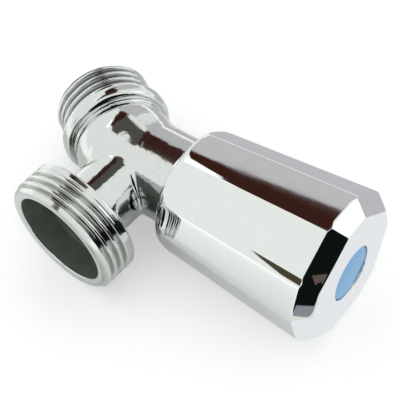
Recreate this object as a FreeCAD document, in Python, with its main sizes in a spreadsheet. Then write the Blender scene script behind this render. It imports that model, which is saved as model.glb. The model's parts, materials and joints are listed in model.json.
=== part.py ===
import FreeCAD, Part
import math
import os

import Sketcher

# A washing machine valve: a plated brass body whose inlet, outlet and neck lie in one plane, and a
# long knob on the neck. The frame has +Z square to that plane and +Y out along the inlet. The origin
# is on the inlet's axis, at the shoulder where the inlet thread starts. Lengths are in millimetres.

SIZES = [
    ("junction_depth", 9.8, "inlet shoulder to the point where the neck's axis crosses the inlet's"),
    ("outlet_offset", 3.5, "from that point along the neck to the outlet's axis"),
    ("neck_angle", 30.0, "turn of the neck from the inlet axis carried straight on, degrees"),
    ("outlet_angle", 64.0, "turn of the outlet the other way, degrees"),
    ("bulb_r", 10.6, "round middle of the casting"),
    ("bulb_depth", 7.9, "inlet shoulder to the bulb's centre"),
    ("inlet_thread_r", 10.4775, "half-inch pipe thread, over the crests"),
    ("inlet_thread_length", 7.8, "shoulder to the inlet's end"),
    ("inlet_chamfer", 1.0, "lead-in of the inlet thread"),
    ("inlet_bore_r", 7.5, "waterway in the inlet"),
    ("inlet_bore_floor", 3.5, "shoulder to the waterway's floor"),
    ("inlet_root_wall", 1.9, "casting round the waterway, under the collar"),
    ("collar_r", 11.8, "collar behind the inlet thread"),
    ("collar_length", 3.7, "collar along the inlet"),
    ("collar_round", 1.2, "rounding of the collar"),
    ("outlet_thread_r", 13.2205, "three-quarter-inch hose thread, over the crests"),
    ("outlet_thread_length", 8.1, "shoulder to the outlet's end"),
    ("outlet_chamfer", 1.0, "lead-in of the outlet thread"),
    ("outlet_shoulder", 16.9, "neck's axis to the back of the outlet thread"),
    ("outlet_tube_r", 7.6, "tube between bulb and outlet thread"),
    ("outlet_bore_r", 10.5, "open mouth of the outlet"),
    ("outlet_bore_depth", 6.3, "depth of the mouth"),
    ("outlet_waterway_r", 5.6, "waterway in the outlet tube"),
    ("waterway_start", 6.5, "where the outlet waterway starts, clear of the seat"),
    ("neck_r", 9.5, "neck under the knob"),
    ("neck_length", 13.0, "outlet's axis to the neck's end"),
    ("neck_root", 2.0, "solid neck behind the chamber's floor"),
    ("chamber_r", 7.6, "chamber round the valve washer"),
    ("seat_depth", 3.0, "seat's lip, back from the outlet's axis"),
    ("seat_lip_height", 1.0, "lip above the chamber's floor"),
    ("seat_bore_r", 4.5, "hole in the seat"),
    ("seat_lip_width", 1.2, "width of the lip"),
    ("seat_bore_length", 7.5, "seat hole from the floor to the inlet's waterway"),
    ("valve_lift", 4.5, "travel of the plunger"),
    ("washer_r", 6.4, "rubber valve washer"),
    ("washer_thickness", 3.0, "rubber valve washer"),
    ("washer_hole_r", 2.0, "hole for the washer's screw"),
    ("washer_screw_head_r", 3.2, "head of the washer's screw"),
    ("washer_screw_head", 1.2, "height of that head"),
    ("washer_screw_r", 1.5, "shank of that screw"),
    ("washer_screw_length", 5.0, "shank of that screw, under the head"),
    ("plunger_flange_r", 6.8, "plate behind the valve washer"),
    ("plunger_flange", 1.8, "thickness of that plate"),
    ("plunger_r", 5.6, "round part of the plunger"),
    ("plunger_hex_r", 5.3, "six-sided part, over its corners"),
    ("plunger_top_gap", 0.4, "plunger's top to the spindle's shoulder, fully open"),
    ("drive_thread_r", 3.0, "left-hand thread that drives the plunger"),
    ("plunger_floor", 3.5, "solid bottom of the plunger"),
    ("ring_section_r", 0.6, "section of the sealing rings"),
    ("ring_groove_width", 1.5, "width of their grooves"),
    ("plunger_ring_inset", 3.1, "ring on the plunger, inside the headwork's end"),
    ("plunger_ring_cover", 1.2, "round part above that ring"),
    ("headwork_thread_r", 8.331, "three-eighths pipe thread of the headwork"),
    ("headwork_engaged", 5.8, "length of that thread in the neck"),
    ("gasket_thickness", 0.8, "ring between hexagon and neck"),
    ("hexagon_r", 9.24, "headwork hexagon over its corners, 16 across flats"),
    ("hexagon_height", 4.5, "headwork hexagon"),
    ("shank_r", 6.8, "headwork above the hexagon"),
    ("shank_length", 15.1, "headwork above the hexagon"),
    ("bearing_length", 8.3, "spindle's bearing in the headwork"),
    ("spindle_r", 3.9, "spindle in its bearing"),
    ("spindle_flange_r", 4.45, "shoulder that keeps the spindle in"),
    ("spindle_flange", 1.2, "thickness of that shoulder"),
    ("thrust_washer_thickness", 0.6, "plastic ring above that shoulder"),
    ("spindle_tail_gap", 0.4, "spindle's tail to the plunger's floor, fully open"),
    ("ring_pitch", 3.0, "between the two rings on the spindle"),
    ("ring_inset", 2.6, "lower ring above the bearing's start"),
    ("clip_thickness", 0.8, "spring clip on the spindle"),
    ("clip_r", 5.2, "outside of the clip"),
    ("clip_groove_depth", 0.6, "clip's groove in the spindle"),
    ("clip_sweep", 300.0, "arc of the open clip, degrees"),
    ("clip_play", 0.2, "end play of the spindle"),
    ("end_clearance", 0.2, "room at the end of a guide or a socket"),
    ("square_side", 6.0, "square that drives the knob"),
    ("square_start", 1.0, "square above the clip"),
    ("square_length", 8.6, "square that drives the knob"),
    ("knob_end_width", 3.3, "knob's round end, from its mouth to its outside"),
    ("knob_mouth_rim", 0.3, "flat edge round the knob's mouth"),
    ("knob_shoulder", 2.0, "length of the sloping shoulder at the round end"),
    ("knob_shoulder_round", 2.0, "rounding between that shoulder and the side"),
    ("knob_length", 35.5, "open end to the widest place of the knob"),
    ("knob_rim_r", 16.3, "widest place, over the corners"),
    ("knob_slant", 3.1, "widest place to the knob's face"),
    ("knob_face_r", 13.6, "corners of the knob's face"),
    ("knob_crown", 0.3, "rise of the face to its middle"),
    ("knob_wide_flat", 40.0, "arc of a wide flat, degrees; a narrow one between takes the rest"),
    ("knob_wide_face", 47.0, "arc of a wide facet at the knob's face, degrees"),
    ("knob_corner_trim", 0.3, "round body short of the flats' corners at the widest place"),
    ("knob_facet_turn", 28.5, "how far the facets stand turned in the closed position, degrees"),
    ("knob_wall", 1.9, "wall of the knob at the middle of a facet"),
    ("knob_lip", 1.9, "thick lip round the knob's open end"),
    ("knob_end_wall", 2.8, "wall behind the knob's face"),
    ("hub_r", 5.8, "hub in the knob"),
    ("hub_gap", 0.5, "foot of the square to the hub"),
    ("hub_floor", 1.6, "hub's floor under the screw's head"),
    ("screw_pocket", 4.5, "that floor to the edge of the knob's face"),
    ("knob_screw_r", 1.9, "screw into the spindle"),
    ("knob_screw_play", 0.4, "room round its shank in the hub"),
    ("knob_screw_length", 8.0, "its length under the head"),
    ("knob_screw_head_r", 3.4, "its head"),
    ("knob_screw_head", 1.6, "height of its head"),
    ("cap_r", 5.8, "blue disc in the face"),
    ("cap_thickness", 1.2, "blue disc"),
    ("cap_recess", 0.25, "disc's face below the knob's face"),
    ("cap_spigot", 0.5, "ring under the disc that snaps in"),
    ("cap_spigot_wall", 0.8, "wall of that ring"),
    ("running_clearance", 0.05, "round a turning or sliding piece"),
    ("fit_clearance", 0.03, "round a piece that stays put"),
    ("neck_gap", 0.4, "knob's open end round the neck"),
]
KNOB_SIDES = 10
HEXAGON_SIDES = 6
SQUARE_SIDES = 4
CUT_OVERRUN = 1.0
TOUCH = 0.001

doc = FreeCAD.newDocument("washing_machine_valve")
sheet = doc.addObject("Spreadsheet::Sheet", "Sizes")
for row, (alias, number, note) in enumerate(SIZES, start=1):
    sheet.set(f"A{row}", alias)
    sheet.set(f"B{row}", str(number))
    sheet.set(f"C{row}", note)
    sheet.setAlias(f"B{row}", alias)
doc.recompute()


class Size:
    """A number together with the sheet formula that gives it."""

    def __init__(self, number, formula):
        self.number = number
        self.formula = formula

    def _joined(self, sign, other, number):
        return Size(number, f"({self.formula} {sign} {as_size(other).formula})")

    def __add__(self, other):
        return self._joined("+", other, self.number + as_size(other).number)

    def __sub__(self, other):
        return self._joined("-", other, self.number - as_size(other).number)

    def __mul__(self, other):
        return self._joined("*", other, self.number * as_size(other).number)

    def __truediv__(self, other):
        return self._joined("/", other, self.number / as_size(other).number)

    def __neg__(self):
        return Size(-self.number, f"(0 - {self.formula})")


def as_size(value):
    return value if isinstance(value, Size) else Size(float(value), f"{float(value)}")


def cell(alias):
    return Size(float(sheet.get(alias)), f"Sizes.{alias}")


def sine(angle):
    return Size(math.sin(math.radians(angle.number)), f"sin({angle.formula} * 1 deg)")


def cosine(angle):
    return Size(math.cos(math.radians(angle.number)), f"cos({angle.formula} * 1 deg)")


def bind(thing, path, size):
    thing.setExpression(path, size.formula)


def add_turned_frame(body, arm):
    """Put a body on the inlet, on the neck or on the outlet. An arm's own axis is drawn along -Y."""
    if arm == "inlet":
        return
    axis, angle = {"neck": (1, "neck_angle"), "outlet": (-1, "outlet_angle")}[arm]
    turn = FreeCAD.Rotation(FreeCAD.Vector(0, 0, axis), sheet.get(angle))
    body.Placement = FreeCAD.Placement(FreeCAD.Vector(), turn)
    across = "Sizes.outlet_offset * sin(Sizes.neck_angle * 1 deg)"
    down = "Sizes.junction_depth + Sizes.outlet_offset * cos(Sizes.neck_angle * 1 deg)"
    body.setExpression("Placement.Base.x", f"{across} * 1 mm")
    body.setExpression("Placement.Base.y", f"-({down}) * 1 mm")
    body.setExpression("Placement.Rotation.Angle", f"Sizes.{angle} * 1 deg")


def origin_plane(body, role):
    return next(item for item in body.Origin.OriginFeatures if item.Role == role)


def new_sketch(body, role):
    sketch = body.newObject("Sketcher::SketchObject", f"{body.Name}Sketch")
    sketch.AttachmentSupport = [(origin_plane(body, role), "")]
    sketch.MapMode = "FlatFace"
    return sketch


def hold(sketch, geometry, point, direction, size):
    """Fix one coordinate of a sketch point to a formula, or to the axis where it is zero."""
    if size.number == 0.0:
        axis = {"DistanceX": -2, "DistanceY": -1}[direction]
        sketch.addConstraint(Sketcher.Constraint("PointOnObject", geometry, point, axis))
        return
    index = sketch.addConstraint(
        Sketcher.Constraint(direction, -1, 1, geometry, point, size.number))
    bind(sketch, f"Constraints[{index}]", size)


def turned(name, arm, points, rounds=(), sweep=None):
    """A piece turned on a lathe: a closed outline of (radius, distance along the arm) points.

    Each entry of rounds is (radius, distance, rounding) and rounds the edge at that corner.
    """
    body = doc.addObject("PartDesign::Body", name)
    add_turned_frame(body, arm)
    out = 1 if arm == "inlet" else -1
    corners = []
    for radius, along in points:
        along = as_size(along)
        corners.append((as_size(radius), along if out > 0 or along.number == 0.0 else -along))
    sketch = new_sketch(body, "XY_Plane")
    count = len(corners)
    for index in range(count):
        (x0, y0), (x1, y1) = corners[index], corners[(index + 1) % count]
        sketch.addGeometry(Part.LineSegment(FreeCAD.Vector(x0.number, y0.number, 0),
                                            FreeCAD.Vector(x1.number, y1.number, 0)))
    for index in range(count):
        sketch.addConstraint(Sketcher.Constraint("Coincident", index, 2, (index + 1) % count, 1))
    for index, (x, y) in enumerate(corners):
        hold(sketch, index, 1, "DistanceX", x)
        hold(sketch, index, 1, "DistanceY", y)
    revolution = body.newObject("PartDesign::Revolution", f"{name}Turned")
    revolution.Profile = sketch
    revolution.ReferenceAxis = (sketch, ["V_Axis"])
    revolution.Angle = 360.0
    if sweep is not None:
        revolution.setExpression("Angle", f"{sweep.formula} * 1 deg")
    doc.recompute()
    for number, (radius, along, rounding) in enumerate(rounds):
        tip = body.Tip
        edge = circle_edge(tip.Shape, as_size(radius).number, out * as_size(along).number)
        fillet = body.newObject("PartDesign::Fillet", f"{name}Round{number}")
        fillet.Base = (tip, [edge])
        fillet.Radius = rounding.number
        bind(fillet, "Radius", rounding)
        doc.recompute()
    return body


def circle_edge(shape, radius, height):
    for number, edge in enumerate(shape.Edges, start=1):
        if not isinstance(edge.Curve, Part.Circle):
            continue
        centre = edge.Curve.Center
        if abs(edge.Curve.Radius - radius) < TOUCH and abs(centre.y - height) < TOUCH:
            return f"Edge{number}"
    raise ValueError(f"no edge of radius {radius} at {height}")


def seal_ring(name, arm, middle_r, along, section_r):
    """A sealing ring: a round section turned about the arm."""
    body = doc.addObject("PartDesign::Body", name)
    add_turned_frame(body, arm)
    sketch = new_sketch(body, "XY_Plane")
    centre = FreeCAD.Vector(middle_r.number, -along.number, 0)
    sketch.addGeometry(Part.Circle(centre, FreeCAD.Vector(0, 0, 1), section_r.number))
    hold(sketch, 0, 3, "DistanceX", middle_r)
    hold(sketch, 0, 3, "DistanceY", -along)
    index = sketch.addConstraint(Sketcher.Constraint("Radius", 0, section_r.number))
    bind(sketch, f"Constraints[{index}]", section_r)
    revolution = body.newObject("PartDesign::Revolution", f"{name}Turned")
    revolution.Profile = sketch
    revolution.ReferenceAxis = (sketch, ["V_Axis"])
    revolution.Angle = 360.0
    return body


def polygon_sketch(body, sides, corner_r, along, turn=None, wide=None):
    """A polygon square to the arm, at a distance along it. It is regular, or every second side
    is wide degrees of arc."""
    sketch = new_sketch(body, "XZ_Plane")
    offset = FreeCAD.Rotation(FreeCAD.Vector(0, 0, 1), turn.number if turn else 0.0)
    sketch.AttachmentOffset = FreeCAD.Placement(FreeCAD.Vector(0, 0, along.number), offset)
    sketch.setExpression("AttachmentOffset.Base.z", f"{along.formula} * 1 mm")
    if turn:
        sketch.setExpression("AttachmentOffset.Rotation.Angle", f"{turn.formula} * 1 deg")
    corners = []
    for number in range(sides):
        angle = 2 * math.pi * number / sides
        if wide and number % 2:
            angle = 2 * math.pi * (number - 1) / sides + math.radians(wide.number)
        corners.append(FreeCAD.Vector(corner_r.number * math.cos(angle),
                                      corner_r.number * math.sin(angle), 0))
    for number in range(sides):
        sketch.addGeometry(Part.LineSegment(corners[number], corners[(number + 1) % sides]))
    circle = sketch.addGeometry(
        Part.Circle(FreeCAD.Vector(0, 0, 0), FreeCAD.Vector(0, 0, 1), corner_r.number), True)
    sketch.addConstraint(Sketcher.Constraint("Coincident", circle, 3, -1, 1))
    index = sketch.addConstraint(Sketcher.Constraint("Radius", circle, corner_r.number))
    bind(sketch, f"Constraints[{index}]", corner_r)
    for number in range(sides):
        following = (number + 1) % sides
        sketch.addConstraint(Sketcher.Constraint("Coincident", number, 2, following, 1))
        sketch.addConstraint(Sketcher.Constraint("PointOnObject", number, 1, circle))
    pattern = 2 if wide else 1
    for number in range(pattern, sides):
        sketch.addConstraint(Sketcher.Constraint("Equal", number % pattern, number))
    if wide:
        chord = corner_r * sine(wide / 2) * 2
        index = sketch.addConstraint(Sketcher.Constraint("Distance", 0, chord.number))
        bind(sketch, f"Constraints[{index}]", chord)
    sketch.addConstraint(Sketcher.Constraint("PointOnObject", 0, 1, -1))
    return sketch


def prism(name, arm, sides, corner_r, start, length):
    body = doc.addObject("PartDesign::Body", name)
    add_turned_frame(body, arm)
    sketch = polygon_sketch(body, sides, corner_r, start)
    pad = body.newObject("PartDesign::Pad", f"{name}Pad")
    pad.Profile = sketch
    pad.Length = length.number
    pad.setExpression("Length", f"{length.formula} * 1 mm")
    return body


def joined(name, pieces):
    fuse = doc.addObject("Part::MultiFuse", name)
    fuse.Shapes = pieces
    return fuse


def cut(name, base, tools):
    result = doc.addObject("Part::Cut", name)
    result.Base = base
    result.Tool = tools[0] if len(tools) == 1 else joined(f"{name}Tools", tools)
    return result


def common(name, first, second):
    result = doc.addObject("Part::Common", name)
    result.Base = first
    result.Tool = second
    return result


# Heights on the neck, measured from the point where the outlet's axis meets it.
seat = -cell("seat_depth")
chamber_floor = seat - cell("seat_lip_height")
washer_top = seat + cell("washer_thickness")
flange_top = washer_top + cell("plunger_flange")
headwork_end = cell("neck_length") - cell("headwork_engaged")
plunger_ring = headwork_end + cell("plunger_ring_inset")
plunger_round_top = plunger_ring + cell("plunger_ring_cover")
hexagon_foot = cell("neck_length") + cell("gasket_thickness")
hexagon_top = hexagon_foot + cell("hexagon_height")
headwork_top = hexagon_top + cell("shank_length")
bearing_foot = headwork_top - cell("bearing_length")
guide_top = plunger_round_top + cell("valve_lift") + cell("end_clearance")
flange_foot = bearing_foot - cell("thrust_washer_thickness") - cell("spindle_flange")
plunger_top = flange_foot - cell("valve_lift") - cell("plunger_top_gap")
tail_end = washer_top + cell("plunger_floor") + cell("valve_lift") + cell("spindle_tail_gap")
clip_foot = headwork_top + cell("clip_play")
clip_top = clip_foot + cell("clip_thickness")
square_foot = clip_top + cell("square_start")
square_top = square_foot + cell("square_length")
hub_foot = square_foot + cell("hub_gap")
socket_top = square_top + cell("end_clearance")
hub_floor_top = socket_top + cell("hub_floor")
knob_face = hub_floor_top + cell("screw_pocket")
knob_rim = knob_face - cell("knob_slant")
knob_back = knob_rim - cell("knob_length")
cap_top = knob_face + cell("knob_crown") - cell("cap_recess")
cap_foot = cap_top - cell("cap_thickness")


def make_valve_body():
    """The casting: three arms on a bulb, then the waterways, the seat and the headwork's hole."""
    inlet_end = cell("inlet_thread_length")
    outlet_end = cell("outlet_shoulder") + cell("outlet_thread_length")
    inlet = turned("InletArm", "inlet", [
        (0, -cell("bulb_depth")),
        (cell("inlet_bore_r") + cell("inlet_root_wall"), -cell("bulb_depth")),
        (cell("inlet_bore_r") + cell("inlet_root_wall"), -cell("collar_length")),
        (cell("collar_r"), -cell("collar_length")),
        (cell("collar_r"), 0),
        (cell("inlet_thread_r"), 0),
        (cell("inlet_thread_r"), inlet_end - cell("inlet_chamfer")),
        (cell("inlet_thread_r") - cell("inlet_chamfer"), inlet_end),
        (0, inlet_end),
    ], rounds=[
        (cell("collar_r"), -cell("collar_length"), cell("collar_round")),
        (cell("collar_r"), 0, cell("collar_round")),
    ])
    neck_start = chamber_floor - cell("neck_root")
    neck = turned("NeckArm", "neck", [
        (0, neck_start),
        (cell("neck_r"), neck_start),
        (cell("neck_r"), cell("neck_length")),
        (0, cell("neck_length")),
    ])
    outlet = turned("OutletArm", "outlet", [
        (0, 0),
        (cell("outlet_tube_r"), 0),
        (cell("outlet_tube_r"), cell("outlet_shoulder")),
        (cell("outlet_thread_r"), cell("outlet_shoulder")),
        (cell("outlet_thread_r"), outlet_end - cell("outlet_chamfer")),
        (cell("outlet_thread_r") - cell("outlet_chamfer"), outlet_end),
        (0, outlet_end),
    ])
    bulb = doc.addObject("Part::Sphere", "Bulb")
    bulb.setExpression("Radius", "Sizes.bulb_r * 1 mm")
    bulb.setExpression("Placement.Base.y", "-Sizes.bulb_depth * 1 mm")
    casting = joined("Casting", [bulb, inlet, neck, outlet])
    inlet_waterway = turned("InletWaterway", "inlet", [
        (0, -cell("inlet_bore_floor")),
        (cell("inlet_bore_r"), -cell("inlet_bore_floor")),
        (cell("inlet_bore_r"), inlet_end + CUT_OVERRUN),
        (0, inlet_end + CUT_OVERRUN),
    ])
    outlet_waterway = turned("OutletWaterway", "outlet", [
        (0, cell("waterway_start")),
        (cell("outlet_waterway_r"), cell("waterway_start")),
        (cell("outlet_waterway_r"), outlet_end - cell("outlet_bore_depth")),
        (cell("outlet_bore_r"), outlet_end - cell("outlet_bore_depth")),
        (cell("outlet_bore_r"), outlet_end + CUT_OVERRUN),
        (0, outlet_end + CUT_OVERRUN),
    ])
    seat_back = chamber_floor - cell("seat_bore_length")
    lip_r = cell("seat_bore_r") + cell("seat_lip_width")
    neck_bore_r = cell("headwork_thread_r") + cell("fit_clearance")
    chamber = turned("Chamber", "neck", [
        (0, seat_back),
        (cell("seat_bore_r"), seat_back),
        (cell("seat_bore_r"), seat),
        (lip_r, seat),
        (lip_r, chamber_floor),
        (cell("chamber_r"), chamber_floor),
        (cell("chamber_r"), headwork_end),
        (neck_bore_r, headwork_end),
        (neck_bore_r, cell("neck_length") + CUT_OVERRUN),
        (0, cell("neck_length") + CUT_OVERRUN),
    ])
    return cut("ValveBody", casting, [inlet_waterway, outlet_waterway, chamber])


def make_headwork():
    """The bonnet that screws into the neck, and the ring that seals its hexagon."""
    turned_part = turned("HeadworkTurned", "neck", [
        (0, headwork_end),
        (cell("headwork_thread_r"), headwork_end),
        (cell("headwork_thread_r"), hexagon_foot),
        (cell("shank_r"), hexagon_foot),
        (cell("shank_r"), headwork_top),
        (0, headwork_top),
    ])
    hexagon = prism("HeadworkHexagon", "neck", HEXAGON_SIDES, cell("hexagon_r"), hexagon_foot,
                    cell("hexagon_height"))
    guide_r = cell("plunger_r") + cell("running_clearance")
    bearing_r = cell("spindle_r") + cell("running_clearance")
    bore = turned("HeadworkBore", "neck", [
        (0, headwork_end - CUT_OVERRUN),
        (guide_r, headwork_end - CUT_OVERRUN),
        (guide_r, guide_top),
        (bearing_r, guide_top),
        (bearing_r, headwork_top + CUT_OVERRUN),
        (0, headwork_top + CUT_OVERRUN),
    ])
    guide_hexagon = prism("GuideHexagon", "neck", HEXAGON_SIDES,
                          cell("plunger_hex_r") + cell("running_clearance") * 2, guide_top,
                          bearing_foot - guide_top)
    housing = cut("Headwork", joined("HeadworkBlank", [turned_part, hexagon]), [bore, guide_hexagon])
    inner_r = cell("headwork_thread_r") + cell("fit_clearance")
    gasket = turned("Gasket", "neck", [
        (inner_r, cell("neck_length")),
        (cell("neck_r"), cell("neck_length")),
        (cell("neck_r"), hexagon_foot),
        (inner_r, hexagon_foot),
    ])
    return housing, gasket


def make_spindle():
    """The spindle and what it carries: two rings, the thrust washer and the clip."""
    groove_r = cell("spindle_r") - cell("ring_section_r") * 2 + cell("fit_clearance")
    clip_groove_r = cell("spindle_r") - cell("clip_groove_depth")
    half_groove = cell("ring_groove_width") / 2
    ring_heights = []
    outline = [
        (0, tail_end),
        (cell("drive_thread_r"), tail_end),
        (cell("drive_thread_r"), flange_foot),
        (cell("spindle_flange_r"), flange_foot),
        (cell("spindle_flange_r"), flange_foot + cell("spindle_flange")),
        (cell("spindle_r"), flange_foot + cell("spindle_flange")),
    ]
    for number in range(2):
        height = bearing_foot + cell("ring_inset") + cell("ring_pitch") * number
        ring_heights.append(height)
        outline += [
            (cell("spindle_r"), height - half_groove),
            (groove_r, height - half_groove),
            (groove_r, height + half_groove),
            (cell("spindle_r"), height + half_groove),
        ]
    outline += [
        (cell("spindle_r"), clip_foot),
        (clip_groove_r, clip_foot),
        (clip_groove_r, clip_top),
        (cell("spindle_r"), clip_top),
        (cell("spindle_r"), square_top),
        (0, square_top),
    ]
    bar = turned("SpindleBar", "neck", outline)
    square_r = cell("square_side") / math.sqrt(2)
    below = turned("SpindleBelow", "neck", [
        (0, tail_end), (cell("clip_r"), tail_end), (cell("clip_r"), square_foot), (0, square_foot)])
    square = prism("SpindleSquare", "neck", SQUARE_SIDES, square_r, square_foot, cell("square_length"))
    shaped = common("SpindleShaped", bar, joined("SpindleEnvelope", [below, square]))
    screw_hole = turned("SpindleTapping", "neck", [
        (0, square_top - cell("knob_screw_length")),
        (cell("knob_screw_r") + cell("fit_clearance"), square_top - cell("knob_screw_length")),
        (cell("knob_screw_r") + cell("fit_clearance"), square_top + CUT_OVERRUN),
        (0, square_top + CUT_OVERRUN),
    ])
    spindle = cut("Spindle", shaped, [screw_hole])
    middle_r = groove_r + cell("ring_section_r")
    rings = [seal_ring(f"SpindleRing{number}", "neck", middle_r, height,
                       cell("ring_section_r") - cell("fit_clearance"))
             for number, height in enumerate(ring_heights)]
    washer_r = cell("spindle_r") + cell("running_clearance")
    thrust = turned("Thrust", "neck", [
        (washer_r, bearing_foot - cell("thrust_washer_thickness")),
        (cell("spindle_flange_r"), bearing_foot - cell("thrust_washer_thickness")),
        (cell("spindle_flange_r"), bearing_foot - cell("fit_clearance")),
        (washer_r, bearing_foot - cell("fit_clearance")),
    ])
    clip_inner_r = clip_groove_r + cell("fit_clearance")
    clip = turned("Clip", "neck", [
        (clip_inner_r, clip_foot + cell("fit_clearance")),
        (cell("clip_r"), clip_foot + cell("fit_clearance")),
        (cell("clip_r"), clip_top - cell("fit_clearance")),
        (clip_inner_r, clip_top - cell("fit_clearance")),
    ], sweep=cell("clip_sweep"))
    return spindle, joined("SpindleRings", rings), thrust, clip


def make_plunger():
    """The plunger, its ring, the rubber valve washer and the screw that holds it."""
    ring_height = plunger_ring
    half_groove = cell("ring_groove_width") / 2
    groove_r = cell("plunger_r") - cell("ring_section_r") * 2 + cell("fit_clearance")
    barrel = turned("PlungerTurned", "neck", [
        (0, washer_top),
        (cell("plunger_flange_r"), washer_top),
        (cell("plunger_flange_r"), flange_top),
        (cell("plunger_r"), flange_top),
        (cell("plunger_r"), ring_height - half_groove),
        (groove_r, ring_height - half_groove),
        (groove_r, ring_height + half_groove),
        (cell("plunger_r"), ring_height + half_groove),
        (cell("plunger_r"), plunger_round_top),
        (0, plunger_round_top),
    ])
    hexagon = prism("PlungerHexagon", "neck", HEXAGON_SIDES, cell("plunger_hex_r"), plunger_round_top,
                    plunger_top - plunger_round_top)
    thread_r = cell("drive_thread_r") + cell("running_clearance")
    bore = turned("PlungerBore", "neck", [
        (0, washer_top + cell("plunger_floor")),
        (thread_r, washer_top + cell("plunger_floor")),
        (thread_r, plunger_top + CUT_OVERRUN),
        (0, plunger_top + CUT_OVERRUN),
    ])
    shank_r = cell("washer_screw_r") + cell("fit_clearance")
    head_top = seat + cell("washer_screw_head")
    screw_end = head_top + cell("washer_screw_length")
    tapping = turned("PlungerTapping", "neck", [
        (0, washer_top - CUT_OVERRUN),
        (shank_r, washer_top - CUT_OVERRUN),
        (shank_r, screw_end + cell("fit_clearance")),
        (0, screw_end + cell("fit_clearance")),
    ])
    plunger = cut("Plunger", joined("PlungerBlank", [barrel, hexagon]), [bore, tapping])
    ring = seal_ring("PlungerRing", "neck", groove_r + cell("ring_section_r"), ring_height,
                     cell("ring_section_r") - cell("fit_clearance"))
    head_hole_r = cell("washer_screw_head_r") + cell("fit_clearance")
    washer = turned("Washer", "neck", [
        (cell("washer_hole_r"), head_top),
        (head_hole_r, head_top),
        (head_hole_r, seat),
        (cell("washer_r"), seat),
        (cell("washer_r"), washer_top),
        (cell("washer_hole_r"), washer_top),
    ])
    screw = turned("WasherScrew", "neck", [
        (0, seat),
        (cell("washer_screw_head_r"), seat),
        (cell("washer_screw_head_r"), head_top),
        (cell("washer_screw_r"), head_top),
        (cell("washer_screw_r"), screw_end),
        (0, screw_end),
    ])
    return plunger, ring, washer, screw


def make_knob():
    """The knob: a hollow flared round body trimmed by ten flats, wide and narrow in turn, that grow
    from nothing at its back, with a ring of slanted facets round the face."""
    back, rim, face = knob_back, knob_rim, knob_face
    wide = cell("knob_wide_flat")
    flatness = cosine(wide / 2)
    inner_rim_r = cell("knob_rim_r") * flatness - cell("knob_wall")
    mouth_r = cell("neck_r") + cell("neck_gap")
    back_r = mouth_r + cell("knob_end_width")
    inner_back_r = back_r - cell("knob_wall")
    inner_end = face - cell("knob_end_wall")
    wide_face = cell("knob_wide_face")
    inner_face_r = cell("knob_face_r") * cosine(wide_face / 2) - cell("knob_wall")
    round_rim_r = cell("knob_rim_r") - cell("knob_corner_trim")
    flare = (round_rim_r - back_r) / cell("knob_length")
    shoulder = back + cell("knob_shoulder")
    shoulder_r = back_r + flare * cell("knob_shoulder")
    outline = turned("KnobRound", "neck", [
        (0, hub_foot),
        (cell("hub_r"), hub_foot),
        (cell("hub_r"), inner_end),
        (inner_face_r, inner_end),
        (inner_rim_r, rim - cell("knob_end_wall")),
        (inner_back_r, back + cell("knob_shoulder") + cell("knob_lip")),
        (mouth_r, back + cell("knob_lip")),
        (mouth_r, back),
        (mouth_r + cell("knob_mouth_rim"), back),
        (shoulder_r, shoulder),
        (round_rim_r, rim),
        (round_rim_r, face),
        (0, face + cell("knob_crown")),
    ], rounds=[(shoulder_r, shoulder, cell("knob_shoulder_round"))])
    flats = doc.addObject("PartDesign::Body", "KnobFlats")
    add_turned_frame(flats, "neck")
    turn = cell("knob_facet_turn")
    slope = (cell("knob_rim_r") - cell("knob_face_r")) / (face - rim)
    wide_last = wide_face + (wide_face - wide) / (face - rim) * CUT_OVERRUN
    turn_last = turn - (wide_last - wide) / 2
    first = polygon_sketch(flats, KNOB_SIDES, back_r / flatness, back, turn, wide)
    middle = polygon_sketch(flats, KNOB_SIDES, cell("knob_rim_r"), rim, turn, wide)
    last = polygon_sketch(flats, KNOB_SIDES, cell("knob_face_r") - slope * CUT_OVERRUN,
                          face + CUT_OVERRUN, turn_last, wide_last)
    loft = flats.newObject("PartDesign::AdditiveLoft", "KnobFlatsLoft")
    loft.Profile = first
    loft.Sections = [middle, last]
    loft.Ruled = True
    cap_hole_r = cell("cap_r") + cell("fit_clearance")
    head_hole_r = cell("knob_screw_head_r") + cell("fit_clearance")
    shank_hole_r = cell("knob_screw_r") + cell("knob_screw_play")
    screw_way = turned("KnobScrewWay", "neck", [
        (0, socket_top),
        (shank_hole_r, socket_top),
        (shank_hole_r, hub_floor_top),
        (head_hole_r, hub_floor_top),
        (head_hole_r, cap_foot),
        (cap_hole_r, cap_foot),
        (cap_hole_r, cap_top + CUT_OVERRUN),
        (0, cap_top + CUT_OVERRUN),
    ])
    socket_r = (cell("square_side") + cell("fit_clearance") * 2) / math.sqrt(2)
    socket = prism("KnobSocket", "neck", SQUARE_SIDES, socket_r, hub_foot - CUT_OVERRUN,
                   socket_top - hub_foot + CUT_OVERRUN)
    knob = cut("Knob", common("KnobFaceted", outline, flats), [screw_way, socket])
    head_top = hub_floor_top + cell("knob_screw_head")
    screw_end = hub_floor_top - cell("knob_screw_length")
    screw = turned("KnobScrew", "neck", [
        (0, screw_end),
        (cell("knob_screw_r"), screw_end),
        (cell("knob_screw_r"), hub_floor_top),
        (cell("knob_screw_head_r"), hub_floor_top),
        (cell("knob_screw_head_r"), head_top),
        (0, head_top),
    ])
    spigot_foot = cap_foot - cell("cap_spigot")
    spigot_inner_r = cell("knob_screw_head_r") - cell("cap_spigot_wall")
    cap = turned("Cap", "neck", [
        (0, cap_foot),
        (spigot_inner_r, cap_foot),
        (spigot_inner_r, spigot_foot),
        (cell("knob_screw_head_r"), spigot_foot),
        (cell("knob_screw_head_r"), cap_foot),
        (cell("cap_r"), cap_foot),
        (cell("cap_r"), cap_top),
        (0, cap_top),
    ])
    return knob, screw, cap


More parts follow.
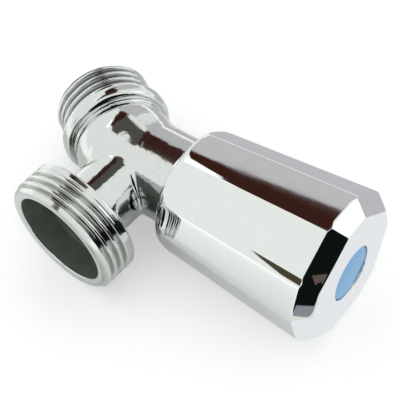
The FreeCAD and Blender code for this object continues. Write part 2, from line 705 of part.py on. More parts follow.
def check_and_write(nodes):
    """Stop on anything that failed, then write each sub-part under its own name."""
    for label, item in nodes.items():
        item.Label = label
    doc.recompute()
    for item in doc.Objects:
        if "Invalid" in item.State or "Error" in item.State:
            raise RuntimeError(f"{item.Name} failed: {item.State}")
    os.makedirs("parts", exist_ok=True)
    for label, item in nodes.items():
        shape = item.Shape
        if shape.isNull() or not shape.isValid() or not shape.Solids:
            raise RuntimeError(f"{label} has no valid solid")
        shape.exportStep(os.path.join("parts", f"{label}.step"))
        print(f"{label}: {len(shape.Solids)} solid, {shape.Volume:.1f} mm3")


valve_body = make_valve_body()
headwork_housing, headwork_gasket = make_headwork()
spindle, spindle_o_rings, thrust_washer, spindle_clip = make_spindle()
plunger, plunger_o_ring, valve_washer, washer_screw = make_plunger()
knob_shell, knob_screw, index_cap = make_knob()
check_and_write({
    "valve_body": valve_body,
    "headwork_housing": headwork_housing,
    "headwork_gasket": headwork_gasket,
    "spindle": spindle,
    "spindle_o_rings": spindle_o_rings,
    "thrust_washer": thrust_washer,
    "spindle_clip": spindle_clip,
    "plunger": plunger,
    "plunger_o_ring": plunger_o_ring,
    "valve_washer": valve_washer,
    "washer_screw": washer_screw,
    "knob_shell": knob_shell,
    "knob_screw": knob_screw,
    "index_cap": index_cap,
})
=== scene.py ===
# %% [markdown]
# # A washing machine valve in chrome
#
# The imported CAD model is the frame, and every piece here keeps its sizes and places. This lesson puts
# the finish on it. The casting gets its fillets, the two ends get their pipe threads, the knob gets
# its crisp facets, and each material gets the surface that its making leaves.

# %% Load the frame
import json
import math

import bmesh
import bpy
import numpy as np
from mathutils import Matrix, Vector


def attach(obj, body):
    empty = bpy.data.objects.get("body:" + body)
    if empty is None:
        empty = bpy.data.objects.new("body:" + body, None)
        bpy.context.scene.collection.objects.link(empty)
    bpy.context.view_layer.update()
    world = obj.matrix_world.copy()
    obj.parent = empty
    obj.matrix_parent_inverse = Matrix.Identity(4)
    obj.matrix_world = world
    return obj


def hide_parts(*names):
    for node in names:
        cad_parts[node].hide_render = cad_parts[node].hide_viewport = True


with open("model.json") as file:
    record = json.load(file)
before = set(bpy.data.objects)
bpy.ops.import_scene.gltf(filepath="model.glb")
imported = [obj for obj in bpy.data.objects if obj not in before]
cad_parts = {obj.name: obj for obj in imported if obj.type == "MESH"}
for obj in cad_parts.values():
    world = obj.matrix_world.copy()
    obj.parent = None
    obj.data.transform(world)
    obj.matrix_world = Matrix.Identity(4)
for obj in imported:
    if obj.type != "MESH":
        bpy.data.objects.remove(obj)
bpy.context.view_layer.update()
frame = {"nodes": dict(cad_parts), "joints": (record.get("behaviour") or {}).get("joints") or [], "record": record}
print("nodes in the frame:", len(frame["nodes"]))

# %% [markdown]
# ## Axes and sizes
#
# The valve has three arms in one plane. The record says where two of them run: the outlet is a mount
# and the knob is a hinge. Where those two lines cross is the point from which lengths along the
# outlet and along the neck are measured. Sizes are written in millimetres, as a maker would, and
# turned to metres when a mesh is finished.

# %% Axes of the three arms
MM = 0.001
mounts = {mount["name"]: mount for mount in frame["record"]["mounts"]}
knob_turn = next(joint for joint in frame["joints"] if joint["name"] == "knob_turn")
inlet_axis = np.array([0.0, 1.0, 0.0])
neck_axis = np.array(knob_turn["axis"])
outlet_axis = np.array(mounts["outlet_thread"]["axis"])
outlet_at = np.array(mounts["outlet_thread"]["pos_m"]) / MM
knob_at = np.array(knob_turn["pos_m"]) / MM
steps = np.linalg.solve(np.column_stack([outlet_axis[:2], -neck_axis[:2]]), (knob_at - outlet_at)[:2])
crossing = outlet_at + outlet_axis * steps[0]
print("outlet and neck cross at", crossing.round(2))


# %% Turn a mesh that was drawn along Z onto an arm
def arm_matrix(origin, axis):
    """Local Z runs along the arm, and local X is the frame's up."""
    up = np.array([0.0, 0.0, 1.0])
    side = np.cross(axis, up)
    turn = np.column_stack([up, side, axis])
    matrix = Matrix([list(row) + [0.0] for row in turn] + [[0, 0, 0, 1]])
    return Matrix.Scale(MM, 4) @ Matrix.Translation(Vector(origin)) @ matrix


inlet_arm = arm_matrix(np.zeros(3), inlet_axis)
neck_arm = arm_matrix(crossing, neck_axis)
outlet_arm = arm_matrix(crossing, outlet_axis)
headings = [math.degrees(math.atan2(axis[0], axis[1])) for axis in (inlet_axis, neck_axis, outlet_axis)]
print("inlet, neck and outlet head", np.round(headings, 1), "degrees from the inlet")

# %% [markdown]
# ## The camera
#
# The camera comes first, because every later choice is judged through it. The photograph was taken
# from near by and from above. Its place was worked out from the ellipses that the round ends make in
# the picture, so the numbers here are a position, a point it looks at and a small roll.

# %% Camera
CAMERA_AT = Vector((-28.68, -147.05, 163.97)) * MM
CAMERA_AIM = Vector((8.38, -27.49, 0.0)) * MM
CAMERA_ROLL = math.radians(-7.93)
CAMERA_LENS, SENSOR_WIDTH = 92.25, 36.0
NEAREST_SEEN = 0.01
camera_data = bpy.data.cameras.new("photo_camera")
camera_data.lens = CAMERA_LENS
camera_data.sensor_width = SENSOR_WIDTH
camera_data.clip_start = NEAREST_SEEN
camera = bpy.data.objects.new("photo_camera", camera_data)
bpy.context.scene.collection.objects.link(camera)
looking = (CAMERA_AIM - CAMERA_AT).normalized()
facing = looking.to_track_quat("-Z", "Y").to_matrix() @ Matrix.Rotation(CAMERA_ROLL, 3, "Z")
camera.matrix_world = Matrix.Translation(CAMERA_AT) @ facing.to_4x4()
bpy.context.scene.camera = camera
print("camera is", round((CAMERA_AIM - CAMERA_AT).length / MM), "mm from what it looks at")

# %% [markdown]
# ## Turned forms
#
# The threaded ends, the bores and the blue disc are round about an axis, as work from a lathe is, so
# their meshes are a section swept round it. A section is a list of corners with a rounding at each,
# because no real edge is perfectly sharp and chrome shows every edge as a bright line. A Screw
# modifier could sweep it too. Plain arrays are used here, because the rows can then be put close
# together where an edge turns and far apart where a wall is straight.


# %% Round the corners of a section
def rounded_section(corners, arc_steps=5):
    """Corners are (radius, along, rounding). Gives the points of the closed section."""
    points = []
    count = len(corners)
    for index, (radius, along, rounding) in enumerate(corners):
        here = np.array([radius, along])
        before = np.array(corners[index - 1][:2]) - here
        after = np.array(corners[(index + 1) % count][:2]) - here
        if rounding == 0.0:
            points.append(here)
            continue
        to_before = before / np.linalg.norm(before)
        to_after = after / np.linalg.norm(after)
        half = math.acos(np.clip(to_before @ to_after, -1.0, 1.0)) / 2
        reach = rounding / math.tan(half)
        middle = to_before + to_after
        centre = here + middle / np.linalg.norm(middle) * rounding / math.sin(half)
        start = here + to_before * reach - centre
        end = here + to_after * reach - centre
        for share in np.linspace(0.0, 1.0, arc_steps):
            spoke = start * (1 - share) + end * share
            points.append(centre + spoke / np.linalg.norm(spoke) * rounding)
    return points


# %% Divide the long walls of a section
def divided(points, step):
    """Adds points so that no stretch of the closed section is longer than step."""
    result = []
    for index, point in enumerate(points):
        following = points[(index + 1) % len(points)]
        parts = max(1, math.ceil(np.linalg.norm(following - point) / step))
        for part in range(parts):
            result.append(point + (following - point) * part / parts)
    return np.array(result)


# %% Skin a grid of points
def skin(name, rows, close_rows):
    """Rows of points, each a full turn, become one mesh. finish_mesh turns its faces outwards."""
    rows = np.asarray(rows)
    row_count, turn_count = rows.shape[:2]
    mesh = bpy.data.meshes.new(name)
    faces = []
    for row in range(row_count if close_rows else row_count - 1):
        above = (row + 1) % row_count
        for column in range(turn_count):
            beside = (column + 1) % turn_count
            faces.append((row * turn_count + column, row * turn_count + beside,
                          above * turn_count + beside, above * turn_count + column))
    mesh.from_pydata(rows.reshape(-1, 3).tolist(), [], faces)
    return mesh


# %% Sweep a section round local Z
ROUND_STEPS = 96


def lathe(name, section, turns=ROUND_STEPS, close_rows=True):
    """Points (radius, along) are swept round local Z in equal steps."""
    angles = np.linspace(0.0, 2 * math.pi, turns, endpoint=False)
    section = np.asarray(section)
    rows = np.empty((len(section), turns, 3))
    rows[:, :, 0] = section[:, 0:1] * np.cos(angles)
    rows[:, :, 1] = section[:, 0:1] * np.sin(angles)
    rows[:, :, 2] = section[:, 1:2]
    return skin(name, rows, close_rows)


# %% Close poles, turn faces outwards and shade smooth
SAME_POINT = 1e-7


def finish_mesh(mesh, matrix, smooth_angle=35.0):
    """Puts a mesh in its place, in metres, and keeps only the edges past smooth_angle sharp."""
    mesh.transform(matrix)
    grid = bmesh.new()
    grid.from_mesh(mesh)
    bmesh.ops.remove_doubles(grid, verts=grid.verts, dist=SAME_POINT)
    bmesh.ops.recalc_face_normals(grid, faces=grid.faces)
    grid.to_mesh(mesh)
    grid.free()
    mesh.shade_smooth()
    mesh.set_sharp_from_angle(angle=math.radians(smooth_angle))
    return mesh


# %% Add a piece and count its triangles
def add_piece(name, mesh):
    piece = bpy.data.objects.new(name, mesh)
    bpy.context.scene.collection.objects.link(piece)
    return piece


def triangles(mesh):
    return sum(len(polygon.vertices) - 2 for polygon in mesh.polygons)


# %% [markdown]
# ## Materials
#
# Colours are written as sRGB hex values, as read from a picture, and one function turns them to the
# linear values that Blender mixes. One small function adds a node, sets it and links it.


# %% Colour and node helpers
def linear(hex_colour):
    values = [int(hex_colour[i:i + 2], 16) / 255 for i in (1, 3, 5)]
    return [v / 12.92 if v <= 0.04045 else ((v + 0.055) / 1.055) ** 2.4 for v in values] + [1.0]


def add_node(tree, kind, settings=(), inputs=()):
    """Adds a node with its fields. An input is a value, a socket to link, or a node for its first one."""
    node = tree.nodes.new(kind)
    for field, value in dict(settings).items():
        setattr(node, field, value)
    for socket, value in dict(inputs).items():
        source = value.outputs[0] if isinstance(value, bpy.types.Node) else value
        if isinstance(source, bpy.types.NodeSocket):
            tree.links.new(source, node.inputs[socket])
        else:
            node.inputs[socket].default_value = value
    return node


def new_material(name):
    material = bpy.data.materials.new(name)
    material.use_nodes = True
    tree = material.node_tree
    shader = tree.nodes["Principled BSDF"]
    return material, tree, shader


# %% [markdown]
# Chrome plate is thin and copies what lies under it. Over cast and polished brass it keeps a faint
# waviness, one or two millimetres across, and tiny scratches from polishing that only soften the
# reflections. Over moulded plastic it is flatter and brighter. Both are metals, so the shader needs
# a bright base colour, full metallic and a low roughness.

# %% The surface of chrome plate
# Pits are a share of a wave in width and in depth. A haze of polishing marks varies the gloss.
PIT_WIDTH, PIT_DEPTH = 0.2, 0.15
HAZE_MM, HAZE_LOW, HAZE_HIGH = 9.0, 0.3, 0.7


def chrome_plate(name, roughness, roughness_spread, wave_mm, wave_height_mm):
    """Metal over a waved surface with fine pits. Gives the material and the pattern of the pits."""
    material, tree, shader = new_material(name)
    shader.inputs["Metallic"].default_value = 1.0
    place = add_node(tree, "ShaderNodeTexCoord").outputs["Object"]
    waves = add_node(tree, "ShaderNodeTexNoise",
                     inputs={"Vector": place, "Scale": 1 / (wave_mm * MM), "Detail": 2.0})
    bump = add_node(tree, "ShaderNodeBump",
                    inputs={"Height": waves, "Distance": wave_height_mm * MM, "Strength": 1.0})
    pits = add_node(tree, "ShaderNodeTexNoise",
                    inputs={"Vector": place, "Scale": 1 / (wave_mm * PIT_WIDTH * MM), "Detail": 3.0})
    fine = add_node(tree, "ShaderNodeBump",
                    inputs={"Height": pits, "Normal": bump, "Strength": 1.0,
                            "Distance": wave_height_mm * PIT_DEPTH * MM})
    tree.links.new(fine.outputs["Normal"], shader.inputs["Normal"])
    haze = add_node(tree, "ShaderNodeTexNoise",
                    inputs={"Vector": place, "Scale": 1 / (HAZE_MM * MM), "Detail": 4.0})
    spread = add_node(tree, "ShaderNodeMapRange",
                      inputs={"Value": haze, "From Min": HAZE_LOW, "From Max": HAZE_HIGH,
                              "To Min": roughness, "To Max": roughness + roughness_spread})
    tree.links.new(spread.outputs["Result"], shader.inputs["Roughness"])
    return material, pits


# %% Chrome plate on cast brass and on moulded plastic
# The pits take a slightly duller colour, which keeps large bright areas from looking painted.
PITS_DULL, PITS_BRIGHT = 0.28, 0.62


def pitted_plate(name, colour, dull, **surface):
    """Chrome plate of one colour, with the dull colour in its pits."""
    material, pits = chrome_plate(name, **surface)
    tree = material.node_tree
    bright = add_node(tree, "ShaderNodeMapRange",
                      inputs={"Value": pits, "From Min": PITS_DULL, "From Max": PITS_BRIGHT})
    plate = add_node(tree, "ShaderNodeMix", {"data_type": "RGBA"},
                     {"A": linear(dull), "B": linear(colour), "Factor": bright})
    tree.links.new(plate.outputs["Result"], tree.nodes["Principled BSDF"].inputs["Base Color"])
    return material


cast_chrome = pitted_plate("chrome_plate_on_cast_brass", "#E8EAE9", "#DFE1E0", roughness=0.06,
                           roughness_spread=0.06, wave_mm=1.8, wave_height_mm=0.05)
knob_chrome = pitted_plate("chrome_plate_on_moulded_abs", "#F2F3F2", "#EFF0EF", roughness=0.02,
                           roughness_spread=0.02, wave_mm=9.0, wave_height_mm=0.003)
print("chrome finishes:", cast_chrome.name, knob_chrome.name)

# %% Chrome plate on the threads
# A thread's grooves take a darker colour than its crests: painted shade, as falls in a groove. The
# inlet's grooves get a darker painted shade than the outlet's, so each end has a finish of its own.
CREST_COLOUR = "#E6E8E7"


def thread_plate(name, groove_shade_colour):
    """Chrome plate with painted shade in the groove. The thread tree stores where the groove is."""
    material, _ = chrome_plate(name, roughness=0.08, roughness_spread=0.06, wave_mm=0.8,
                               wave_height_mm=0.006)
    tree = material.node_tree
    groove = add_node(tree, "ShaderNodeAttribute", {"attribute_name": "groove"}).outputs["Fac"]
    # The groove's colour is painted shade, darker than the crest's colour.
    groove_shade = add_node(tree, "ShaderNodeMix", {"data_type": "RGBA"},
                    {"A": linear(CREST_COLOUR), "B": linear(groove_shade_colour), "Factor": groove})
    tree.links.new(groove_shade.outputs["Result"], tree.nodes["Principled BSDF"].inputs["Base Color"])
    return material


inlet_chrome = thread_plate("chrome_plate_on_inlet_thread", "#5C605C")
outlet_chrome = thread_plate("chrome_plate_on_outlet_thread", "#C4C7C3")
print("thread finishes:", inlet_chrome.name, outlet_chrome.name)

# %% Dull film inside the mouth
# Inside the mouth a dull, greenish grey film covers the brass, so it scatters light like a stone.
FILM_ROUGHNESS, STAIN_MM = 0.5, 3.0
mouth_brass, mouth_nodes, mouth_shader = new_material("brass_with_a_dull_film")
mouth_shader.inputs["Roughness"].default_value = FILM_ROUGHNESS
mouth_place = add_node(mouth_nodes, "ShaderNodeTexCoord").outputs["Object"]
stains = add_node(mouth_nodes, "ShaderNodeTexNoise",
                  inputs={"Vector": mouth_place, "Scale": 1 / (STAIN_MM * MM), "Detail": 4.0})
stained = add_node(mouth_nodes, "ShaderNodeMix", {"data_type": "RGBA"},
                   {"A": linear("#464C46"), "B": linear("#6E746D"), "Factor": stains})
mouth_nodes.links.new(stained.outputs["Result"], mouth_shader.inputs["Base Color"])
print("inside the mouth:", mouth_brass.name)

# %% [markdown]
# ## The casting
#
# The body of the valve was cast in brass: a collar, a round bulb, a neck for the knob and a tube for
# the outlet run into one another with fillets, soft at the neck and tighter at the tube. Fillets on
# crossing round forms are hard to model by hand. Here each form is a distance formula, and a smooth
# minimum blends them. The Remesh modifier gives an even mesh over the joined forms, and every point
# of it is then moved onto the blended surface, so chrome reflections run clean over the fillets.

# %% Sizes of the casting
# The tube runs a little way into the threaded end, so that no gap opens between the two pieces.
COLLAR_R, COLLAR_LENGTH, COLLAR_ROUND = 11.8, 3.7, 1.3
BULB_R, BULB_DEPTH = 10.6, 7.9
NECK_R, NECK_FOOT, NECK_END = 9.5, -6.0, 13.0
TUBE_R, OUTLET_SHOULDER, TUBE_OVERLAP = 7.6, 16.9, 0.6
TUBE_END = OUTLET_SHOULDER + TUBE_OVERLAP
NECK_FILLET, TUBE_FILLET, COLLAR_FILLET, EDGE_ROUND = 1.6, 0.7, 0.7, 0.3
CAST_MESH_STEP, BALL_DIVISIONS = 0.26, 5
bulb_at = np.array([0, -BULB_DEPTH, 0])
print("across, in mm: bulb", 2 * BULB_R, "neck", 2 * NECK_R, "tube", 2 * TUBE_R, "collar", 2 * COLLAR_R)


# %% Distance to each form
def rounded_bar(points, origin, axis, foot, end, radius, rounding):
    """Distance to a round bar with rounded edges, from foot to end along its axis."""
    offset = points - origin
    along = offset @ axis
    out = np.linalg.norm(offset - along[:, None] * axis, axis=1)
    past_r = out - (radius - rounding)
    past_end = np.abs(along - (foot + end) / 2) - ((end - foot) / 2 - rounding)
    outside = np.hypot(np.maximum(past_r, 0), np.maximum(past_end, 0))
    return outside + np.minimum(np.maximum(past_r, past_end), 0) - rounding


def blended(first, second, width):
    """Smooth minimum of two distances: a fillet about as wide as width."""
    share = np.maximum(width - np.abs(first - second), 0) / width
    return np.minimum(first, second) - share * share * width / 4


def casting_distance(points):
    """Distance to the whole casting, with its fillets."""
    bulb = np.linalg.norm(points - bulb_at, axis=1) - BULB_R
    neck = rounded_bar(points, crossing, neck_axis, NECK_FOOT, NECK_END, NECK_R, EDGE_ROUND)
    tube = rounded_bar(points, crossing, outlet_axis, 0.0, TUBE_END, TUBE_R, EDGE_ROUND)
    collar = rounded_bar(points, np.zeros(3), inlet_axis, -COLLAR_LENGTH, 0.0, COLLAR_R, COLLAR_ROUND)
    body = blended(bulb, neck, NECK_FILLET)
    body = blended(body, tube, TUBE_FILLET)
    return blended(body, collar, COLLAR_FILLET)


# %% Rough forms, remeshed as one
def rough_bar(grid, origin, axis, foot, end, radius):
    middle = np.asarray(origin) + np.asarray(axis) * (foot + end) / 2
    aim = Vector(axis).to_track_quat("Z", "Y").to_matrix().to_4x4()
    bmesh.ops.create_cone(grid, cap_ends=True, segments=ROUND_STEPS, radius1=radius, radius2=radius,
                          depth=end - foot, matrix=Matrix.Translation(Vector(middle)) @ aim)


rough = bmesh.new()
bmesh.ops.create_icosphere(rough, subdivisions=BALL_DIVISIONS, radius=BULB_R,
                           matrix=Matrix.Translation(Vector(bulb_at)))
rough_bar(rough, crossing, neck_axis, NECK_FOOT, NECK_END, NECK_R)
rough_bar(rough, crossing, outlet_axis, 0.0, TUBE_END, TUBE_R)
rough_bar(rough, np.zeros(3), inlet_axis, -COLLAR_LENGTH, 0.0, COLLAR_R)
rough_mesh = bpy.data.meshes.new("rough_casting")
rough.to_mesh(rough_mesh)
rough.free()
rough_piece = add_piece("rough_casting", rough_mesh)
remesh = rough_piece.modifiers.new("even_mesh", "REMESH")
remesh.mode = "VOXEL"
remesh.voxel_size = CAST_MESH_STEP
remesh.use_smooth_shade = True
graph = bpy.context.evaluated_depsgraph_get()
cast_mesh = bpy.data.meshes.new_from_object(rough_piece.evaluated_get(graph))
bpy.data.objects.remove(rough_piece)
print("even mesh:", len(cast_mesh.vertices), "points")


# %% Move every point onto the blended surface
def settle(mesh, distance, rounds=8, feel=1e-3, least_steep=0.05, stride=0.9):
    """Steps each point down the slope of the distance. Gives the largest distance that is left."""
    points = np.empty(len(mesh.vertices) * 3)
    mesh.vertices.foreach_get("co", points)
    points = points.reshape(-1, 3)
    for _ in range(rounds):
        here = distance(points)
        slope = np.empty_like(points)
        for axis in range(3):
            nudge = np.zeros(3)
            nudge[axis] = feel
            slope[:, axis] = (distance(points + nudge) - distance(points - nudge)) / (2 * feel)
        steep = np.maximum((slope * slope).sum(axis=1), least_steep)
        points -= slope * (here / steep)[:, None] * stride
    mesh.vertices.foreach_set("co", points.ravel())
    mesh.update()
    return np.abs(distance(points)).max()


print("furthest point from the blended surface, mm:", round(float(settle(cast_mesh, casting_distance)), 4))

# %% [markdown]
# The waterways are drilled and bored after casting, so they are cut with Booleans: the inlet's bore,
# the outlet's bore and the chamber behind the knob. Their edges stay sharp, as drilled edges do.

# %% Bores of the casting
# Each drill starts outside the casting, so that it cuts the face cleanly.
INLET_BORE_R, INLET_BORE_FLOOR, INLET_DRILL_TOP = 7.5, -3.5, 2.0
WATERWAY_R, WATERWAY_START, OUTLET_DRILL_TOP = 5.6, 6.5, 20.0
SEAT_R, SEAT_BACK, SEAT_LIP, LIP_R, CHAMBER_FLOOR = 4.5, -11.5, -3.0, 5.7, -4.0
CHAMBER_R, CHAMBER_TOP, HEADWORK_R, NECK_DRILL_TOP = 7.6, 7.2, 8.361, 15.0
DRILLED_EDGE_ANGLE = 40.0
bores = {
    "inlet_bore": (inlet_arm, [(0, INLET_BORE_FLOOR), (INLET_BORE_R, INLET_BORE_FLOOR),
                               (INLET_BORE_R, INLET_DRILL_TOP), (0, INLET_DRILL_TOP)]),
    "outlet_bore": (outlet_arm, [(0, WATERWAY_START), (WATERWAY_R, WATERWAY_START),
                                 (WATERWAY_R, OUTLET_DRILL_TOP), (0, OUTLET_DRILL_TOP)]),
    "chamber": (neck_arm, [(0, SEAT_BACK), (SEAT_R, SEAT_BACK), (SEAT_R, SEAT_LIP), (LIP_R, SEAT_LIP),
                           (LIP_R, CHAMBER_FLOOR), (CHAMBER_R, CHAMBER_FLOOR), (CHAMBER_R, CHAMBER_TOP),
                           (HEADWORK_R, CHAMBER_TOP), (HEADWORK_R, NECK_DRILL_TOP), (0, NECK_DRILL_TOP)]),
}
cast_body = add_piece("cast_body", cast_mesh)
cast_mesh.transform(Matrix.Scale(MM, 4))
for bore_name, (arm, outline) in bores.items():
    cutter_mesh = finish_mesh(lathe(bore_name, outline, close_rows=False), arm)
    cutter = add_piece(bore_name, cutter_mesh)
    boring = cast_body.modifiers.new(bore_name, "BOOLEAN")
    boring.operation = "DIFFERENCE"
    boring.solver = "EXACT"
    boring.object = cutter
graph = bpy.context.evaluated_depsgraph_get()
bored_mesh = bpy.data.meshes.new_from_object(cast_body.evaluated_get(graph))
cast_body.modifiers.clear()
cast_body.data = bored_mesh
for bore_name in bores:
    bpy.data.objects.remove(bpy.data.objects[bore_name])
bored_mesh.shade_smooth()
bored_mesh.set_sharp_from_angle(angle=math.radians(DRILLED_EDGE_ANGLE))
bored_mesh.materials.clear()
bored_mesh.materials.append(cast_chrome)
print("casting:", triangles(bored_mesh), "triangles")

# %% [markdown]
# ## The pipe threads
#
# Both ends carry a pipe thread of 14 turns to the inch. A thread is a groove that follows a helix, so
# it is made with Geometry Nodes: a plain turned blank goes in, and the tree pulls each point of it
# down to the groove that a thread cutter would leave. The groove's depth at a point comes from how
# far along the axis it lies and from its angle round the axis. The blank's own radius is kept where
# it is smaller, so the lead-in at the end cuts the ridges off as a real chamfer does.

# %% Geometry Nodes: cut a helical thread into a blank along Z
# A groove's floor and its edge lie these shares of a pitch from its middle.
INCH, TURNS_TO_THE_INCH = 25.4, 14
THREAD_PITCH = INCH / TURNS_TO_THE_INCH
THREAD_DEPTH = 1.16
GROOVE_FLOOR, GROOVE_EDGE, HALF_PITCH = 0.06, 0.40, 0.5
LEAST_CUT = 0.001


def thread_tree():
    """Takes a blank with the attribute cut, from 0 to 1, and gives it a thread and a groove mark."""
    tree = bpy.data.node_groups.new("cut_pipe_thread", "GeometryNodeTree")
    face = tree.interface
    face.new_socket("Blank", in_out="INPUT", socket_type="NodeSocketGeometry")
    for title in ("Crest radius", "Pitch", "Depth"):
        face.new_socket(title, in_out="INPUT", socket_type="NodeSocketFloat")
    face.new_socket("Finish", in_out="INPUT", socket_type="NodeSocketMaterial")
    face.new_socket("Threaded", in_out="OUTPUT", socket_type="NodeSocketGeometry")
    given = add_node(tree, "NodeGroupInput").outputs
    spot = add_node(tree, "GeometryNodeInputPosition")
    xyz = add_node(tree, "ShaderNodeSeparateXYZ", inputs={"Vector": spot}).outputs
    angle = add_node(tree, "ShaderNodeMath", {"operation": "ARCTAN2"}, {0: xyz["Y"], 1: xyz["X"]})
    turns = add_node(tree, "ShaderNodeMath", {"operation": "DIVIDE"}, {0: angle, 1: 2 * math.pi})
    climbs = add_node(tree, "ShaderNodeMath", {"operation": "DIVIDE"}, {0: xyz["Z"], 1: given["Pitch"]})
    helix = add_node(tree, "ShaderNodeMath", {"operation": "SUBTRACT"}, {0: climbs, 1: turns})
    ridge = add_node(tree, "ShaderNodeMath", {"operation": "PINGPONG"}, {0: helix, 1: HALF_PITCH})
    groove = add_node(tree, "ShaderNodeMapRange", {"interpolation_type": "SMOOTHSTEP"},
                      {"Value": ridge, "From Min": GROOVE_FLOOR, "From Max": GROOVE_EDGE,
                       "To Min": 1.0, "To Max": 0.0})
    marked = add_node(tree, "GeometryNodeInputNamedAttribute", {"data_type": "FLOAT"}, {"Name": "cut"})
    share = add_node(tree, "ShaderNodeMath", {"operation": "MULTIPLY"}, {0: groove, 1: marked})
    sunk = add_node(tree, "ShaderNodeMath", {"operation": "MULTIPLY"}, {0: share, 1: given["Depth"]})
    allowed = add_node(tree, "ShaderNodeMath", {"operation": "SUBTRACT"},
                       {0: given["Crest radius"], 1: sunk})
    across = add_node(tree, "ShaderNodeCombineXYZ", inputs={"X": xyz["X"], "Y": xyz["Y"]})
    radius = add_node(tree, "ShaderNodeVectorMath", {"operation": "LENGTH"}, {0: across}).outputs["Value"]
    kept = add_node(tree, "ShaderNodeMath", {"operation": "MINIMUM"}, {0: allowed, 1: radius})
    shrink = add_node(tree, "ShaderNodeMath", {"operation": "DIVIDE"}, {0: kept, 1: radius})
    pulled = add_node(tree, "ShaderNodeVectorMath", {"operation": "SCALE"}, {0: across, "Scale": shrink})
    height = add_node(tree, "ShaderNodeCombineXYZ", inputs={"Z": xyz["Z"]})
    landed = add_node(tree, "ShaderNodeVectorMath", {"operation": "ADD"}, {0: pulled, 1: height})
    on_thread = add_node(tree, "FunctionNodeCompare", {"data_type": "FLOAT", "operation": "GREATER_THAN"},
                         {"A": marked, "B": LEAST_CUT})
    moved = add_node(tree, "GeometryNodeSetPosition",
                     inputs={"Geometry": given["Blank"], "Selection": on_thread, "Position": landed})
    noted = add_node(tree, "GeometryNodeStoreNamedAttribute", {"data_type": "FLOAT", "domain": "POINT"},
                     {"Name": "groove", "Geometry": moved, "Value": share})
    real = add_node(tree, "GeometryNodeRealizeInstances", inputs={"Geometry": noted})
    dressed = add_node(tree, "GeometryNodeSetMaterial",
                       inputs={"Geometry": real, "Material": given["Finish"]})
    add_node(tree, "NodeGroupOutput", inputs={"Threaded": dressed})
    return tree


cut_pipe_thread = thread_tree()
print("thread tree has", len(cut_pipe_thread.nodes), "nodes")


# %% Turn a blank, mark where the thread goes and cut it
# The groove reaches its depth over a share of a pitch. The film starts a little inside the mouth.
BLANK_STEPS, BLANK_MESH_STEP = 240, 0.11
RUN_IN, THREAD_SLACK = 0.6, 0.4
FILM_STARTS, BORE_SLACK = 0.5, 0.02
THREAD_EDGE_ANGLE = 50.0


def threaded_end(name, corners, crest_r, bore_r, thread_foot, thread_end, arm, finish):
    """A blank from the corners of its section, threaded outside and filmed over in its bore."""
    section = divided(rounded_section(corners), BLANK_MESH_STEP)
    mesh = lathe(name, section, BLANK_STEPS)
    fade = np.clip((section[:, 1] - thread_foot) / (THREAD_PITCH * RUN_IN), 0.0, 1.0)
    outside = section[:, 0] > crest_r - THREAD_DEPTH - THREAD_SLACK
    cut = mesh.attributes.new("cut", "FLOAT", "POINT")
    cut.data.foreach_set("value", np.repeat(fade * outside, BLANK_STEPS))
    piece = add_piece(name, mesh)
    threading = piece.modifiers.new("thread", "NODES")
    threading.node_group = cut_pipe_thread
    given = {"Crest radius": crest_r, "Pitch": THREAD_PITCH, "Depth": THREAD_DEPTH, "Finish": finish}
    for socket in cut_pipe_thread.interface.items_tree:
        if socket.name in given:
            threading[socket.identifier] = given[socket.name]
    graph = bpy.context.evaluated_depsgraph_get()
    threaded = bpy.data.meshes.new_from_object(piece.evaluated_get(graph))
    piece.modifiers.clear()
    piece.data = finish_mesh(threaded, arm, smooth_angle=THREAD_EDGE_ANGLE)
    threaded.attributes.remove(threaded.attributes["cut"])
    inward = arm.inverted()
    threaded.materials.append(mouth_brass)
    for polygon in threaded.polygons:
        spot = inward @ polygon.center
        if math.hypot(spot.x, spot.y) < bore_r + BORE_SLACK and spot.z < thread_end - FILM_STARTS:
            polygon.material_index = 1
    print(name, "has", triangles(threaded), "triangles")
    return piece


# %% [markdown]
# The inlet end screws into the wall, so its thread stops at the collar. The outlet end takes the
# hose's nut: behind its thread is a plain ring, and its mouth is wide and open.

# %% Inlet and outlet ends
# Each corner of a section is its radius, its place along the arm and its rounding. The inlet's blank
# starts inside the collar, which hides its sharp foot.
INLET_R = mounts["inlet_thread"]["dims"]["r_mm"]
INLET_FOOT, INLET_THREAD_START, INLET_END = -0.8, 0.3, 7.8
OUTLET_R = mounts["outlet_thread"]["dims"]["r_mm"]
OUTLET_END, MOUTH_R, MOUTH_FLOOR = 25.0, 10.5, 18.7
PLAIN_RING = 1.4
LEAD_IN = 1.0
SHARP, LEAD_ROUND = 0.0, 0.3
inlet_end = threaded_end("inlet_threaded_end", [
    (INLET_BORE_R, INLET_FOOT, SHARP),
    (INLET_R, INLET_FOOT, SHARP),
    (INLET_R, INLET_END - LEAD_IN, LEAD_ROUND),
    (INLET_R - LEAD_IN, INLET_END, 0.25),
    (INLET_BORE_R, INLET_END, LEAD_ROUND),
], INLET_R, INLET_BORE_R, INLET_THREAD_START, INLET_END, inlet_arm, inlet_chrome)
outlet_end = threaded_end("outlet_threaded_end", [
    (WATERWAY_R, OUTLET_SHOULDER, SHARP),
    (OUTLET_R, OUTLET_SHOULDER, 0.6),
    (OUTLET_R, OUTLET_END - LEAD_IN, LEAD_ROUND),
    (OUTLET_R - LEAD_IN, OUTLET_END, LEAD_ROUND),
    (MOUTH_R, OUTLET_END, 0.35),
    (MOUTH_R, MOUTH_FLOOR, 0.4),
    (WATERWAY_R, MOUTH_FLOOR, LEAD_ROUND),
], OUTLET_R, MOUTH_R, OUTLET_SHOULDER + PLAIN_RING, OUTLET_END, outlet_arm, outlet_chrome)

